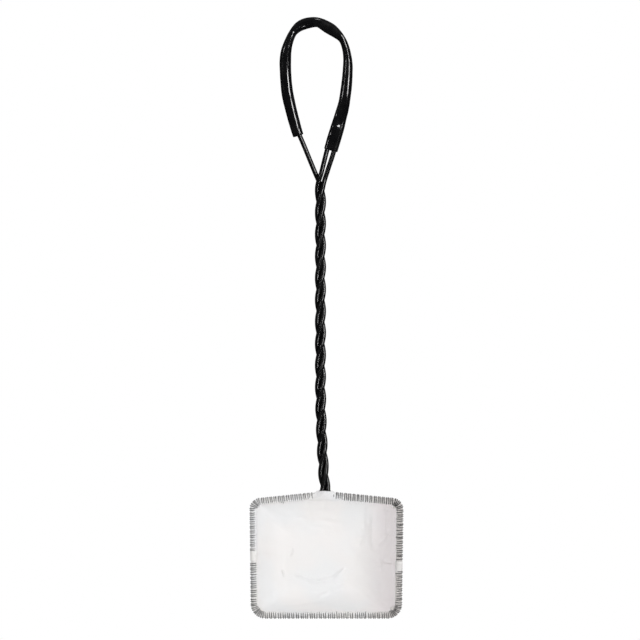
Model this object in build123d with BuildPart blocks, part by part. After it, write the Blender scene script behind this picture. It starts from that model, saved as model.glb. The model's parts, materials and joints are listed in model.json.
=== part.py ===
from build123d import *

import math
import os
from typing import NamedTuple

# Aquarium fish net, hung by its hand loop, in millimetres.
# One vinyl-coated wire makes the whole frame: it starts as a stub in the grip sleeve, runs down the
# shank, round the hoop, up the shank, round the hand loop and down the shank again to its end.
# X is to the right, Z is up along the shank and the bag hangs behind the hoop, towards +Y.
# The origin is where the loop hangs on a hook, under the crest of the sleeve.

# Frame wire
WIRE_DIAMETER = 3.2
CORE_DIAMETER = 2.2
CORE_FIT = 0.02

# Shank: three strands in a right-handed twist
TWIST_TOP = -106.0
TWIST_LENGTH = 202.2
TWIST_FULL_TURNS = 4
TOP_ANGLE = 87.0
FOOT_ANGLE = 221.0
STRAND_GAP = 0.55
SHANK_TOP_SHIFT = 0.3
SHANK_FOOT_SHIFT = 3.25
SHANK_SWAY_LENGTH = 75.0
RETURN_TAIL = 1.5

# Crotch above the twist, where the strands part, in strand radii right of and behind the shank's axis
CROTCH_RISE = 9.5
LEFT_CROTCH = (-1.75, 0.65)
STUB_CROTCH = (0.38, -1.0)
RETURN_CROTCH = (2.1, -0.15)

# Hand loop: the sleeve's centre line, as places in X and Z and headings in degrees from +X
LOOP_LEFT_END = (-14.7, -72.3, 107.0)
LOOP_LEFT_SIDE = (-23.4, -26.0, 90.0)
LOOP_LEFT_SHOULDER = (-17.0, -2.4, 52.0)
LOOP_CREST = (-5.3, 3.5, 2.0)
LOOP_RIGHT_SHOULDER = (11.3, -4.6, -44.0)
LOOP_RIGHT_SIDE = (18.2, -26.0, -90.0)
LOOP_FLARE_START = (15.3, -52.0, -102.0)
LOOP_STUB_TOP = (12.9, -61.5, -105.0)
LOOP_RIGHT_END = (7.3, -81.3, -105.6)
LEFT_WIRE_HEADING = 114.0

# Grip sleeve: a soft round tube, stretched flat and wide over two wires at its right end
SLEEVE_DIAMETER = 7.1
SLEEVE_WALL = 0.8
SLEEVE_FIT = 0.15
PAIR_GAP_AT_STUB_TOP = 0.5
PAIR_GAP_AT_END = 1.4
STUB_TOP_BULGE = 0.6
SLEEVE_FLAT = 0.02

# Hoop, measured on the wire's centre line
HOOP_WIDTH = 98.5
HOOP_TAPER = 1.0
HOOP_SIDE = 75.8
HOOP_RISE = 5.0
HOOP_SHIFT = 4.3
HOOP_TOP_RADIUS = 5.5
HOOP_BOTTOM_RADIUS = 7.5
FOOT_DROP = 3.3
FOOT_SPREAD = 6.0

# Hem of folded mesh round the hoop wire, and its overlock thread
HEM_WALL = 0.2
HEM_FIT = 0.05
THREAD_WALL = 0.2
LEFT_SEAM_DROP = 35.5
RIGHT_SEAM_DROP = 43.2
SEAM_PATCH = 6.0
HEM_START = 9.5
THREAD_START = 12.5

# Bag: its walls curve in from the mouth, and sag below, to a flat rounded end behind the hoop
BAG_WALL = 0.4
BAG_FIT = 0.25
BAG_DEPTH = 37.0
BAG_END_SHIFT = -1.3
BAG_END_DROP = 46.0
BAG_END_WIDTH = 44.0
BAG_END_HEIGHT = 37.0
BAG_END_RADIUS = 15.0
BAG_SAG = 2.0
BAG_DRAW_POWER = 0.85
BAG_PEAK_CUT = 1.4
BAG_PEAK_LEAST = 0.5
BAG_PEAK_RADIUS = 40.0
BAG_DEPTH_SHARES = (0.0, 0.1, 0.3, 0.55, 0.75, 0.9, 0.97, 1.0)
SEAM_DEPTH_SHARES = (0.1, 0.3, 0.55, 0.75, 0.9)
SEAM_WIDTH = 2.4
SEAM_THICKNESS = 0.8
SEAM_FIT = 0.5

# Fold of plain mesh round the foot of the shank, open above
PATCH_WALL = 0.25
PATCH_FIT = 0.25
PATCH_TOP = 2.3

# Sampling of the wire's clearance to itself, between stretches this far apart along it
GAP_STEP = 1.0
GAP_FROM = 15.0

wire_radius = WIRE_DIAMETER / 2
strand_radius = (WIRE_DIAMETER + STRAND_GAP) / math.sqrt(3)
twist_turns = TWIST_FULL_TURNS + 1 + (TOP_ANGLE - FOOT_ANGLE) / 360
twist_bottom = TWIST_TOP - TWIST_LENGTH
hem_radius = wire_radius + HEM_FIT + HEM_WALL
thread_radius = hem_radius + HEM_FIT + THREAD_WALL
sleeve_slack = SLEEVE_DIAMETER / 2 - SLEEVE_WALL - SLEEVE_FIT - wire_radius
pair_at_stub_top = (WIRE_DIAMETER + PAIR_GAP_AT_STUB_TOP) / 2
pair_at_end = (WIRE_DIAMETER + PAIR_GAP_AT_END) / 2


class Station(NamedTuple):
    """A place on a path and the direction in which the path passes it."""

    point: Vector
    heading: Vector


def reverse(stations):
    """The same path walked the other way."""
    return [Station(s.point, s.heading * -1) for s in reversed(stations)]


def biarc_path(stations):
    """Wire of tangent arcs through the stations, two arcs between neighbours or one straight line."""
    with BuildLine() as path:
        for here, there in zip(stations, stations[1:]):
            chord = there.point - here.point
            if here.heading.cross(chord).length + there.heading.cross(chord).length < 1e-6:
                Line(here.point, there.point)
                continue
            bend = 1 - here.heading.dot(there.heading)
            ahead = chord.dot(here.heading + there.heading)
            reach = chord.dot(chord) / (ahead + math.sqrt(ahead**2 + 2 * bend * chord.dot(chord)))
            first = here.point + here.heading * reach
            last = there.point - there.heading * reach
            middle = (first + last) * 0.5
            TangentArc(here.point, middle, tangent=here.heading)
            TangentArc(middle, there.point, tangent=last - first)
    return Wire(path.edges())


def tube(path, outer_radius, inner_radius=0.0):
    """Round tube or rod swept along a path."""
    with BuildPart() as piece:
        with BuildSketch(Plane(path @ 0, z_dir=path % 0)):
            Circle(outer_radius)
            if inner_radius:
                Circle(inner_radius, mode=Mode.SUBTRACT)
        sweep(path=path)
    return piece


# Shank strands


def shank_axis(z):
    """The shank's centre in X: straight above, swaying towards the hoop's middle below."""
    sway = min(max((twist_bottom + SHANK_SWAY_LENGTH - z) / SHANK_SWAY_LENGTH, 0), 1)
    return SHANK_TOP_SHIFT + (SHANK_FOOT_SHIFT - SHANK_TOP_SHIFT) * sway**2


def strand_point(top_angle, turn):
    """Place on a strand that starts at top_angle, a number of turns down the shank."""
    z = TWIST_TOP - TWIST_LENGTH * turn / twist_turns
    angle = math.radians(top_angle - 360 * turn)
    x = shank_axis(z) + strand_radius * math.cos(angle)
    return Vector(x, strand_radius * math.sin(angle), z)


def strand_stations(top_angle, tail=0.0):
    """A strand's stations from its top to a tail below its foot, a quarter turn or less apart."""
    turns = twist_turns * (1 + tail / TWIST_LENGTH)
    quarters = math.ceil(turns * 4)
    nudge = 1e-4
    stations = []
    for i in range(quarters + 1):
        turn = turns * i / quarters
        along = strand_point(top_angle, turn + nudge) - strand_point(top_angle, turn - nudge)
        stations.append(Station(strand_point(top_angle, turn), along.normalized()))
    return stations


left_strand = strand_stations(TOP_ANGLE)
stub_strand = strand_stations(TOP_ANGLE + 120)
return_strand = strand_stations(TOP_ANGLE + 240, RETURN_TAIL)

# Hand loop


def loop_station(place, aside=0.0, heading=None):
    """Station in the loop's plane, moved aside to the right of the centre line's heading."""
    x, z, degrees = place
    right = math.radians(degrees - 90)
    course = math.radians(degrees if heading is None else heading)
    point = Vector(x + aside * math.cos(right), 0, z + aside * math.sin(right))
    return Station(point, Vector(math.cos(course), 0, math.sin(course)))


loop_middle = [
    loop_station(place)
    for place in (LOOP_LEFT_SIDE, LOOP_LEFT_SHOULDER, LOOP_CREST, LOOP_RIGHT_SHOULDER, LOOP_RIGHT_SIDE)
]
loop_wire = [
    loop_station(LOOP_LEFT_END, sleeve_slack, LEFT_WIRE_HEADING),
    *loop_middle,
    loop_station(LOOP_FLARE_START, -sleeve_slack),
    loop_station(LOOP_STUB_TOP, -pair_at_stub_top),
    loop_station(LOOP_RIGHT_END, -pair_at_end),
]
stub_end = [
    loop_station(LOOP_STUB_TOP, pair_at_stub_top),
    loop_station(LOOP_RIGHT_END, pair_at_end),
]

# Crotch


def crotch_station(place, above):
    """Station above the twist that leads straight on to the station above it."""
    across, back = place
    point = Vector(
        SHANK_TOP_SHIFT + across * strand_radius, back * strand_radius, TWIST_TOP + CROTCH_RISE
    )
    return Station(point, (point - above.point).normalized())


left_strand.insert(0, crotch_station(LEFT_CROTCH, loop_wire[0]))
stub_strand.insert(0, crotch_station(STUB_CROTCH, stub_end[-1]))
return_strand.insert(0, crotch_station(RETURN_CROTCH, loop_wire[-1]))

# Hoop, from the right foot round the bottom to the left foot
hoop_peak = twist_bottom - FOOT_DROP
hoop_shoulder = hoop_peak - HOOP_RISE
hoop_bottom = hoop_shoulder - HOOP_SIDE


def hoop_side(sign, z):
    """The side wire's X at a height, right for sign 1 and left for sign -1."""
    taper = HOOP_TAPER * (hoop_shoulder - z) / HOOP_SIDE
    return HOOP_SHIFT + sign * (HOOP_WIDTH / 2 - taper)


def towards(start, end, distance):
    """Station that far from start on the straight line to end."""
    heading = (end - start).normalized()
    return Station(start + heading * distance, heading)


def corner(before, place, after, radius):
    """The two stations where a rounded corner leaves and joins its straight runs."""
    turn = math.radians((place - before).get_angle(after - place))
    reach = radius * math.tan(turn / 2)
    leaving = towards(before, place, (place - before).length - reach)
    return [leaving, towards(place, after, reach)]


foot = Vector(SHANK_FOOT_SHIFT, 0, hoop_peak)
top_right = Vector(hoop_side(1, hoop_shoulder), 0, hoop_shoulder)
bottom_right = Vector(hoop_side(1, hoop_bottom), 0, hoop_bottom)
bottom_left = Vector(hoop_side(-1, hoop_bottom), 0, hoop_bottom)
top_left = Vector(hoop_side(-1, hoop_shoulder), 0, hoop_shoulder)
right_seam = (bottom_right - top_right) * (RIGHT_SEAM_DROP / HOOP_SIDE) + top_right
left_seam = (bottom_left - top_left) * (LEFT_SEAM_DROP / HOOP_SIDE) + top_left

right_bar = towards(foot, top_right, FOOT_SPREAD)
left_bar = towards(top_left, foot, (foot - top_left).length - FOOT_SPREAD)
top_right_corner = corner(foot, top_right, bottom_right, HOOP_TOP_RADIUS)
bottom_right_corner = corner(top_right, bottom_right, bottom_left, HOOP_BOTTOM_RADIUS)
bottom_left_corner = corner(bottom_right, bottom_left, top_left, HOOP_BOTTOM_RADIUS)
top_left_corner = corner(bottom_left, top_left, foot, HOOP_TOP_RADIUS)
hoop = [
    right_bar,
    *top_right_corner,
    *bottom_right_corner,
    *bottom_left_corner,
    *top_left_corner,
    left_bar,
]


def hem_stations(bar_start, patch):
    """Hem runs upper right, lower and upper left, starting on the bars and stopping short of the seams."""
    right_down = towards(top_right, bottom_right, RIGHT_SEAM_DROP - patch)
    right_on = towards(right_seam, bottom_right, patch)
    left_up = towards(bottom_left, left_seam, (left_seam - bottom_left).length - patch)
    left_on = towards(left_seam, top_left, patch)
    start = towards(foot, top_right, bar_start)
    end = towards(top_left, foot, (foot - top_left).length - bar_start)
    return (
        [start, *top_right_corner, right_down],
        [right_on, *bottom_right_corner, *bottom_left_corner, left_up],
        [left_on, *top_left_corner, end],
    )


# The frame wire, end to end
stub_run = [*stub_end, *stub_strand]
hoop_run = [stub_strand[-1], *hoop, Station(left_strand[-1].point, left_strand[-1].heading * -1)]
left_run = [*reverse(left_strand), loop_wire[0]]
return_run = [loop_wire[-1], *return_strand]
coat_runs = {
    "stub_strand_coat": stub_run,
    "hoop_coat": hoop_run,
    "left_strand_coat": left_run,
    "grip_loop_coat": loop_wire,
    "return_strand_coat": return_run,
}
whole_wire = biarc_path(stub_run + hoop_run[1:] + left_run[1:] + loop_wire[1:] + return_run[1:])


def least_gap(path):
    """Least clear distance between the wire's own stretches, measured on points along its path."""
    count = math.ceil(path.length / GAP_STEP)
    points = [tuple(path @ (i / count)) for i in range(count + 1)]
    skip = math.ceil(GAP_FROM / GAP_STEP)
    return min(math.dist(a, b) for i, a in enumerate(points) for b in points[i + skip :]) - WIRE_DIAMETER


print(f"frame wire: {whole_wire.length:.0f} mm long, least gap to itself {least_gap(whole_wire):.2f} mm")
pieces = {"steel_wire": tube(whole_wire, CORE_DIAMETER / 2)}
for name, run in coat_runs.items():
    pieces[name] = tube(biarc_path(run), wire_radius, CORE_DIAMETER / 2 + CORE_FIT)

# Grip sleeve
sleeve_path = biarc_path([loop_station(LOOP_LEFT_END), *loop_middle, loop_station(LOOP_FLARE_START)])
pair_depth = WIRE_DIAMETER + 2 * (SLEEVE_FIT + SLEEVE_WALL)
flare_sections = (
    (LOOP_FLARE_START, SLEEVE_DIAMETER, SLEEVE_DIAMETER),
    (LOOP_STUB_TOP, 2 * pair_at_stub_top + pair_depth, pair_depth + STUB_TOP_BULGE),
    (LOOP_RIGHT_END, 2 * pair_at_end + pair_depth, pair_depth),
)


def sleeve_section(width, depth):
    """Outline of the sleeve across the loop: two round ends joined by short flats."""
    x, y = width / 2, depth / 2
    with BuildLine() as outline:
        FilletPolyline((x, y), (-x, y), (-x, -y), (x, -y), radius=min(x, y) - SLEEVE_FLAT, close=True)
    return outline.edges()


def sleeve_form(wall):
    """Solid of the sleeve, drawn in by a wall: a long round tube and a flare over the two wires."""
    bore = 2 * wall
    with BuildPart() as form:
        start = loop_station(LOOP_LEFT_END)
        with BuildSketch(Plane(start.point, x_dir=(0, 1, 0), z_dir=start.heading)):
            make_face(sleeve_section(SLEEVE_DIAMETER - bore, SLEEVE_DIAMETER - bore))
        sweep(path=sleeve_path)
        for place, width, depth in flare_sections:
            station = loop_station(place)
            with BuildSketch(Plane(station.point, x_dir=(0, 1, 0), z_dir=station.heading)):
                make_face(sleeve_section(depth - bore, width - bore))
        loft()
    return form.part


with BuildPart() as grip_sleeve:
    add(sleeve_form(0))
    add(sleeve_form(SLEEVE_WALL), mode=Mode.SUBTRACT)
pieces["grip_sleeve"] = grip_sleeve

# Hem and its thread
for side, run in zip(("upper_right", "lower", "upper_left"), hem_stations(HEM_START, 0)):
    pieces[f"hem_{side}"] = tube(biarc_path(run), hem_radius, wire_radius + HEM_FIT)
for side, run in zip(("upper_right", "lower", "upper_left"), hem_stations(THREAD_START, SEAM_PATCH / 2)):
    pieces[f"hem_thread_{side}"] = tube(biarc_path(run), thread_radius, hem_radius + HEM_FIT)

# Fold of mesh round the foot of the shank, between the upper hems
patch_radius = strand_radius + wire_radius + PATCH_FIT
patch_centre = towards(foot, top_left, HEM_START).point.Z + strand_radius
patch_rise = hoop_peak + PATCH_TOP - patch_centre
with BuildPart() as shank_patch:
    with BuildSketch(Plane.YZ.offset(SHANK_FOOT_SHIFT)):
        for radius, mode in ((patch_radius + PATCH_WALL, Mode.ADD), (patch_radius, Mode.SUBTRACT)):
            with Locations((0, patch_centre)):
                Circle(radius, mode=mode)
                Rectangle(2 * radius, patch_rise, align=(Align.CENTER, Align.MIN), mode=mode)
        with Locations((0, patch_centre + patch_rise)):
            Rectangle(4 * patch_radius, 2 * patch_radius, align=(Align.CENTER, Align.MIN), mode=Mode.SUBTRACT)
    extrude(amount=HEM_START - PATCH_FIT, both=True)
pieces["shank_patch"] = shank_patch

# Bag
bag_inset = thread_radius + BAG_FIT
bag_end_level = hoop_shoulder - BAG_END_DROP


def blend(start, end, share):
    """Value that share of the way from start to end."""
    return start + (end - start) * share


def bag_drawn(depth_share):
    """How far the bag's walls are drawn in at a share of its depth: 0 at its mouth, 1 at its end."""
    return (1 - math.sqrt(1 - depth_share**2)) ** BAG_DRAW_POWER


def bag_side(sign, z, drawn):
    """The bag wall's X at the side, where the hoop's side wire is read at a height."""
    return blend(hoop_side(sign, z) - sign * bag_inset, BAG_END_SHIFT + sign * BAG_END_WIDTH / 2, drawn)


def bag_corners(drawn, sag, wall):
    """Corners of the bag's section, seen from the front: top left, peak, top right, bottom right and left."""
    top = blend(hoop_shoulder - bag_inset, bag_end_level + BAG_END_HEIGHT / 2, drawn) - wall
    bottom = blend(hoop_bottom + bag_inset, bag_end_level - BAG_END_HEIGHT / 2, drawn) - sag + wall
    peak = top + blend(HOOP_RISE - BAG_PEAK_CUT, BAG_PEAK_LEAST, drawn)
    return [
        (bag_side(-1, hoop_shoulder, drawn) + wall, top),
        (SHANK_FOOT_SHIFT, peak),
        (bag_side(1, hoop_shoulder, drawn) - wall, top),
        (bag_side(1, hoop_bottom, drawn) - wall, bottom),
        (bag_side(-1, hoop_bottom, drawn) + wall, bottom),
    ]


def bag_form(wall):
    """Solid loft of the bag's sections, drawn in by a wall on the sides and at the far end."""
    with BuildPart() as form:
        for share in BAG_DEPTH_SHARES:
            drawn = bag_drawn(share)
            sag = BAG_SAG * 2 * share * math.sqrt(1 - share**2)
            top_radius = blend(HOOP_TOP_RADIUS - bag_inset, BAG_END_RADIUS, drawn)
            bottom_radius = blend(HOOP_BOTTOM_RADIUS - bag_inset, BAG_END_RADIUS, drawn)
            radii = [top_radius, BAG_PEAK_RADIUS, top_radius, bottom_radius, bottom_radius]
            with BuildSketch(Plane.XZ.offset(wall * drawn - BAG_DEPTH * share)):
                with BuildLine():
                    FilletPolyline(*bag_corners(drawn, sag, wall), radius=radii, close=True)
                make_face()
        loft()
    return form.part


with BuildPart() as net_bag:
    add(bag_form(0))
    add(bag_form(BAG_WALL), mode=Mode.SUBTRACT)
pieces["net_bag"] = net_bag

# Side seams of the bag, fins that stand out from its sides
for side, sign, seam in (("left", -1, left_seam), ("right", 1, right_seam)):
    with BuildPart() as side_seam:
        for share in SEAM_DEPTH_SHARES:
            drawn = bag_drawn(share)
            z = blend(seam.Z, bag_end_level, drawn / 2)
            wall_x = bag_side(sign, z, drawn)
            with BuildSketch(Plane.XZ.offset(-BAG_DEPTH * share)):
                with Locations((wall_x + sign * (SEAM_FIT + SEAM_WIDTH / 2), z)):
                    Rectangle(SEAM_WIDTH, SEAM_THICKNESS)
        loft()
    pieces[f"side_seam_{side}"] = side_seam

# Write the pieces
os.makedirs("parts", exist_ok=True)
for name, piece in pieces.items():
    piece.part.label = name
    export_step(piece.part, f"parts/{name}.step")
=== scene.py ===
"""Aquarium fish net: a coated wire frame dressed with its grip sleeve, mesh bag, hems and stitching.

Lengths are in millimetres in the part's own frame until a mesh is made, which is in metres.
X is to the right, Z is up along the shank and the bag hangs behind the hoop, towards +Y.
"""

from __future__ import annotations

import json
import logging
import math
from collections.abc import Mapping, Sequence
from dataclasses import dataclass, field, replace
from enum import Enum
from typing import Any

import bpy
import numpy as np
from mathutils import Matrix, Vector, noise

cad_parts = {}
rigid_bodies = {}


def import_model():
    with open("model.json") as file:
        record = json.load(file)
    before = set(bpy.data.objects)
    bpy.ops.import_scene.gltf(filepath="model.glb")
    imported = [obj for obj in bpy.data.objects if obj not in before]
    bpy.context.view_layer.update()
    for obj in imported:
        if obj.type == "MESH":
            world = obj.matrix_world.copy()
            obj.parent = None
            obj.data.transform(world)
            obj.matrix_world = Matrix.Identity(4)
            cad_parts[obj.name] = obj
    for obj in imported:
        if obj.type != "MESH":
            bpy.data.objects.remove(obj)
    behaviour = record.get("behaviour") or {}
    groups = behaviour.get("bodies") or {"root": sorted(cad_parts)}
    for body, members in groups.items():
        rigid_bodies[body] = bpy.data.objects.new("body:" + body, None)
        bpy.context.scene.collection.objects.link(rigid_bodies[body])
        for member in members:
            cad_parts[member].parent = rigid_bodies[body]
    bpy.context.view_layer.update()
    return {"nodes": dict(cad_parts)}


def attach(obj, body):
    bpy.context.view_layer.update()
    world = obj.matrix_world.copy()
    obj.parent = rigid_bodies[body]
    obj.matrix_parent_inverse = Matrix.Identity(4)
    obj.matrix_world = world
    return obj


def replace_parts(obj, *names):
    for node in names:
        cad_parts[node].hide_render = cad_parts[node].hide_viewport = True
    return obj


LOG = logging.getLogger("fish_net")
MM = 0.001
BODY = "root"
WEAVE_MAP = "weave"
# X in metres over which the painted shade of the hoop's right side sets in
RIGHT_SPAN = (0.026, 0.05)
TAU = 2 * math.pi
FRONT = np.array([0.0, -1.0, 0.0])
# A direction that no thread starts along
ASKEW = FRONT + 0.1
CORNER_STEPS = 16

Colour = tuple[float, float, float]
Socket = bpy.types.NodeSocket


class Slot(Enum):
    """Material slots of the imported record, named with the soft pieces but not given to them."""

    SLEEVE = "sleeve_vinyl"
    MESH = "mesh"
    THREAD = "thread"


class Side(Enum):
    """The two sides of the hoop, as the sign of X from its middle."""

    LEFT = -1
    RIGHT = 1


class Run(Enum):
    """The three runs of the hem, from seam to seam and from each seam to the shank."""

    UPPER_RIGHT = "upper_right"
    LOWER = "lower"
    UPPER_LEFT = "upper_left"


class Value:
    """A shader socket on which Python's operators add Math nodes."""

    def __init__(self, recipe: Recipe, socket: Socket) -> None:
        """Wraps one output socket of a recipe's tree."""
        self.recipe = recipe
        self.socket = socket

    def __add__(self, other: Operand) -> Value:
        """Sum."""
        return self.recipe.math("ADD", self, other)

    __radd__ = __add__

    def __sub__(self, other: Operand) -> Value:
        """Difference."""
        return self.recipe.math("SUBTRACT", self, other)

    def __rsub__(self, other: Operand) -> Value:
        """Difference with a number first."""
        return self.recipe.math("SUBTRACT", other, self)

    def __mul__(self, other: Operand) -> Value:
        """Product."""
        return self.recipe.math("MULTIPLY", self, other)

    __rmul__ = __mul__

    def __truediv__(self, other: Operand) -> Value:
        """Quotient."""
        return self.recipe.math("DIVIDE", self, other)

    def __rtruediv__(self, other: Operand) -> Value:
        """Quotient with a number first."""
        return self.recipe.math("DIVIDE", other, self)

    def cosine(self) -> Value:
        """Cosine of a value in radians."""
        return self.recipe.math("COSINE", self)

    def maximum(self, other: Operand) -> Value:
        """The larger of two values."""
        return self.recipe.math("MAXIMUM", self, other)

    def smooth(self, low: float, high: float) -> Value:
        """Smooth step from 0 at low to 1 at high."""
        sockets = {"Value": self, "From Min": low, "From Max": high}
        return self.recipe.value("ShaderNodeMapRange", {"interpolation_type": "SMOOTHSTEP"}, sockets)

    def between(self, low: float, high: float) -> Value:
        """The span from low to high, read by a value from 0 to 1."""
        return self * (high - low) + low


Operand = Value | float


class Recipe:
    """Builds the nodes of one shader tree."""

    def __init__(self, tree: bpy.types.NodeTree) -> None:
        """Starts from an emptied tree."""
        self.tree = tree
        tree.nodes.clear()

    def node(
        self,
        kind: str,
        settings: Mapping[str, Any] | None = None,
        sockets: Mapping[str | int, Any] | None = None,
    ) -> bpy.types.Node:
        """Adds a node.

        Args:
            kind: Blender's name of the node type.
            settings: Properties of the node, set before its sockets.
            sockets: Values or links of its inputs, by name or number.

        Returns:
            The new node.
        """
        node = self.tree.nodes.new(kind)
        for name, setting in (settings or {}).items():
            setattr(node, name, setting)
        for key, given in (sockets or {}).items():
            source = given.socket if isinstance(given, Value) else given
            if isinstance(source, Socket):
                self.tree.links.new(source, node.inputs[key])
            else:
                node.inputs[key].default_value = source
        return node

    def value(
        self,
        kind: str,
        settings: Mapping[str, Any] | None = None,
        sockets: Mapping[str | int, Any] | None = None,
        output: str | int = 0,
    ) -> Value:
        """Adds a node and returns one of its outputs, for the arguments of node()."""
        return Value(self, self.node(kind, settings, sockets).outputs[output])

    def math(self, operation: str, *operands: Operand) -> Value:
        """Adds a Math node on values and numbers."""
        return self.value("ShaderNodeMath", {"operation": operation}, dict(enumerate(operands)))

    def blend(self, factor: Operand, first: Any, second: Any) -> Value:
        """Mixes two colours.

        Args:
            factor: 0 for the first colour to 1 for the second.
            first: A link, or red, green and blue.
            second: The same for the other colour.

        Returns:
            The mixed colour.
        """
        colours = [(*c, 1.0) if isinstance(c, tuple) else c for c in (first, second)]
        sockets = {0: factor, 6: colours[0], 7: colours[1]}
        return self.value("ShaderNodeMix", {"data_type": "RGBA"}, sockets, output=2)

    def place(self) -> Value:
        """Place on the object in metres, which no view or pose changes."""
        return self.value("ShaderNodeTexCoord", output="Object")

    def speckle(self, size: float, detail: float = 2.0, where: Value | None = None) -> Value:
        """Noise from 0 to 1.

        Args:
            size: Size of its larger spots in millimetres.
            detail: Octaves of finer noise.
            where: Coordinates in metres, or None for the place on the object.

        Returns:
            The noise as a value.
        """
        sockets = {"Vector": where or self.place(), "Scale": 1 / (size * MM), "Detail": detail}
        return self.value("ShaderNodeTexNoise", sockets=sockets)

    def right_side(self) -> Value:
        """1 towards the hoop's right side, where shade is painted, and 0 left of it."""
        split = self.node("ShaderNodeSeparateXYZ", sockets={0: self.place()})
        return Value(self, split.outputs["X"]).smooth(*RIGHT_SPAN)

    def weave_axes(self) -> tuple[Value, Value]:
        """Reads the flat coordinates of the cloth or thread.

        Returns:
            The two coordinates, in millimetres of its flat length.
        """
        flat = self.value("ShaderNodeUVMap", {"uv_map": WEAVE_MAP})
        split = self.node("ShaderNodeSeparateXYZ", sockets={0: flat})
        return Value(self, split.outputs[0]), Value(self, split.outputs[1])

    def bump(self, height: Value, depth: float, strength: float = 1.0) -> Value:
        """Normal of a surface raised by a height from 0 to 1, up to depth millimetres."""
        sockets = {"Height": height, "Distance": depth * MM, "Strength": strength}
        return self.value("ShaderNodeBump", sockets=sockets)

    def surface(self, sockets: Mapping[str, Any]) -> None:
        """Ends a material's tree with one Principled shader on these sockets."""
        shader = self.node("ShaderNodeBsdfPrincipled", sockets=sockets)
        self.node("ShaderNodeOutputMaterial", sockets={"Surface": shader.outputs[0]})


@dataclass(frozen=True)
class Finish:
    """A named surface finish, made into a material once."""

    name: str

    def material(self) -> bpy.types.Material:
        """Finds the finish's material, or makes it.

        Returns:
            The material.
        """
        found = bpy.data.materials.get(self.name)
        if found:
            return found
        made = bpy.data.materials.new(self.name)
        made.use_nodes = True
        self.cook(Recipe(made.node_tree))
        return made

    def cook(self, recipe: Recipe) -> None:
        """Fills a material's tree."""
        raise NotImplementedError


@dataclass(frozen=True)
class VinylFinish(Finish):
    """Black vinyl: dip-coated or extruded, with faint ripples, handling smudges and dust."""

    black: Colour = (0.0025, 0.0025, 0.003)
    dusty: Colour = (0.011, 0.011, 0.011)
    smudge_size: float = 9.0
    ripple_size: float = 2.2
    ripple_depth: float = 0.03
    pit_size: float = 0.35
    roughness: tuple[float, float] = (0.14, 0.24)
    gloss: float = 0.4
    coat: float = 0.25
    coat_roughness: float = 0.12
    smudge_edge: tuple[float, float] = (0.35, 0.75)
    dust_edge: tuple[float, float] = (0.62, 0.75)
    dust_share: float = 0.6
    pit_share: float = 0.003

    def cook(self, recipe: Recipe) -> None:
        """Smudges dull the gloss and grey the black, ripples and pits bend the reflections.

        Args:
            recipe: The material's tree.
        """
        smudge = recipe.speckle(self.smudge_size, detail=4.0).smooth(*self.smudge_edge)
        pits = recipe.speckle(self.pit_size, detail=1.0)
        ripples = recipe.speckle(self.ripple_size)
        dust = recipe.speckle(self.pit_size * 2, detail=3.0).smooth(*self.dust_edge) * smudge
        greyed = smudge * (1 - self.dust_share) + dust * self.dust_share
        colour = recipe.blend(greyed, self.black, self.dusty)
        relief = ripples * (1 - self.pit_share) + pits * self.pit_share
        recipe.surface({
            "Base Color": colour,
            "Roughness": smudge.between(*self.roughness),
            "Coat Weight": (1 - smudge) * self.coat,
            "Coat Roughness": self.coat_roughness,
            "Specular IOR Level": self.gloss,
            "Normal": recipe.bump(relief, self.ripple_depth),
        })


@dataclass(frozen=True)
class MeshFinish(Finish):
    """Fine knitted nylon mesh: round holes in close-packed rows between soft white threads."""

    pitch: float = 0.62
    cover: float = 0.1
    edge: float = 0.5
    cool: Colour = (0.815, 0.82, 0.825)
    warm: Colour = (0.85, 0.825, 0.81)
    tint_size: float = 26.0
    thread_depth: float = 0.06
    thread_relief: float = 0.6
    slub_size: float = 3.5
    slub_pull: float = 0.7
    tint_edge: tuple[float, float] = (0.35, 0.65)
    # Painted shade: the grey the threads fade to at the edges of the holes
    hole_shade: Colour = (0.6, 0.6, 0.61)
    roughness: tuple[float, float] = (0.5, 0.72)
    sheen: float = 0.15
    gloss: float = 0.35
    # Painted shade: the colour the cloth darkens to on the hoop's right side, or None
    right_shade_colour: Colour | None = None

    def cook(self, recipe: Recipe) -> None:
        """Three crossed waves make the rows of holes, which widen a little where the yarn is thin.

        Args:
            recipe: The material's tree.
        """
        across, along = recipe.weave_axes()
        turn = TAU / self.pitch
        half, rise = turn / 2, turn * math.sqrt(3) / 2
        wave = (across * turn).cosine()
        wave = wave + (across * half + along * rise).cosine()
        wave = wave + (across * half - along * rise).cosine()
        slub = recipe.speckle(self.slub_size)
        level = wave + (slub - 0.5) * self.slub_pull
        thread = 1 - level.smooth(self.cover - self.edge, self.cover + self.edge)
        tint = recipe.speckle(self.tint_size, detail=1.0).smooth(*self.tint_edge)
        shade = recipe.blend(tint, self.cool, self.warm)
        # Painted shade: darker towards the hoop's right side
        if self.right_shade_colour:
            shade = recipe.blend(recipe.right_side(), shade, self.right_shade_colour)
        # Painted shade: greyer where the thread thins towards a hole
        thread_edge_shaded = recipe.blend(thread, self.hole_shade, shade)
        recipe.surface({
            "Base Color": thread_edge_shaded,
            "Roughness": slub.between(*self.roughness),
            "Alpha": thread,
            "Sheen Weight": self.sheen,
            "Specular IOR Level": self.gloss,
            "Normal": recipe.bump(thread, self.thread_depth, self.thread_relief),
        })


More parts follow.
